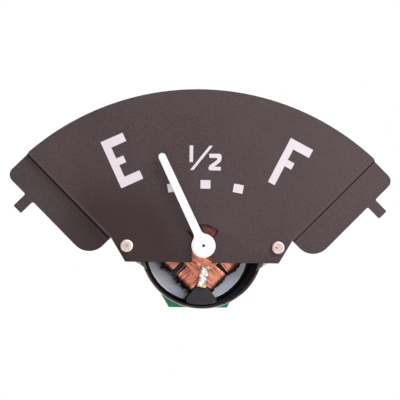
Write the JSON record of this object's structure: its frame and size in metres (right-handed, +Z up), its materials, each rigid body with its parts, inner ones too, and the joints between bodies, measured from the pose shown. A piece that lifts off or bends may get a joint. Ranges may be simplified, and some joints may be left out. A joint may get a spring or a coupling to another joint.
{
  "type": "fuel gauge",
  "caption": "Fan-shaped fuel gauge with a printed dial, a swinging pointer and a crossed-coil movement in a round can.",
  "frame": {"origin": "on the pointer's axis, at the plane where the three terminal studs step down to their free ends", "axes": "+X to the right as the dial is read, +Z up the dial, +Y backwards along the studs; the dial faces -Y"},
  "size_m": [0.096, 0.0305, 0.0551],
  "materials": {
    "dial_paint": "fine-grained matte warm grey paint",
    "dial_print": "matte off-white screen print",
    "pointer_paint": "smooth white paint",
    "bearing_brass": "turned",
    "spindle_steel": "ground",
    "ferrite": "sintered, unpolished",
    "bobbin_plastic": "moulded black",
    "copper_wire": "enamelled copper wire",
    "tinned_brass": "brass strip with solder",
    "plated_can": "plated outside, black inside, bare copper-brown rim",
    "floor_metal": "satin",
    "rivet_metal": "pressed, slightly dull",
    "insulating_card": "pressed card",
    "board_laminate": "green lacquer over tracks",
    "screw_steel": "zinc plated",
    "stud_brass": "dull brass",
    "resistor_body": "lacquered, tan"
  },
  "bodies": {
    "gauge_body": {"dial_plate": "dial_paint", "dial_markings": "dial_print", "front_bearing": "bearing_brass", "rear_bearing": "bearing_brass", "bobbin_front": "bobbin_plastic", "bobbin_rear": "bobbin_plastic", "inner_coil_upper": "copper_wire", "inner_coil_lower": "copper_wire", "outer_coil_upper": "copper_wire", "outer_coil_lower": "copper_wire", "terminal_tag_left": "tinned_brass", "terminal_tag_bottom": "tinned_brass", "terminal_tag_right": "tinned_brass", "return_magnet": "ferrite", "housing_can": "plated_can", "floor_plate": "floor_metal", "dial_rivets": "rivet_metal", "insulator_disc": "insulating_card", "board_spacers": "insulating_card", "circuit_board": "board_laminate", "movement_screws": "screw_steel", "terminal_studs": "stud_brass", "flat_washers": "stud_brass", "lock_washers": "screw_steel", "stud_nuts": "stud_brass", "dropping_resistor": "resistor_body"},
    "pointer_assembly": {"pointer": "pointer_paint", "pointer_sleeve": "bearing_brass", "spindle": "spindle_steel", "rotor_magnet": "ferrite"}
  },
  "joints": [
    {"name": "pointer_swing", "type": "hinge", "parent": "gauge_body", "child": "pointer_assembly", "pos_m": [0, -0.0209, 0], "axis": [0, 1, 0], "range_deg": [-24.6, 75.4]}
  ]
}
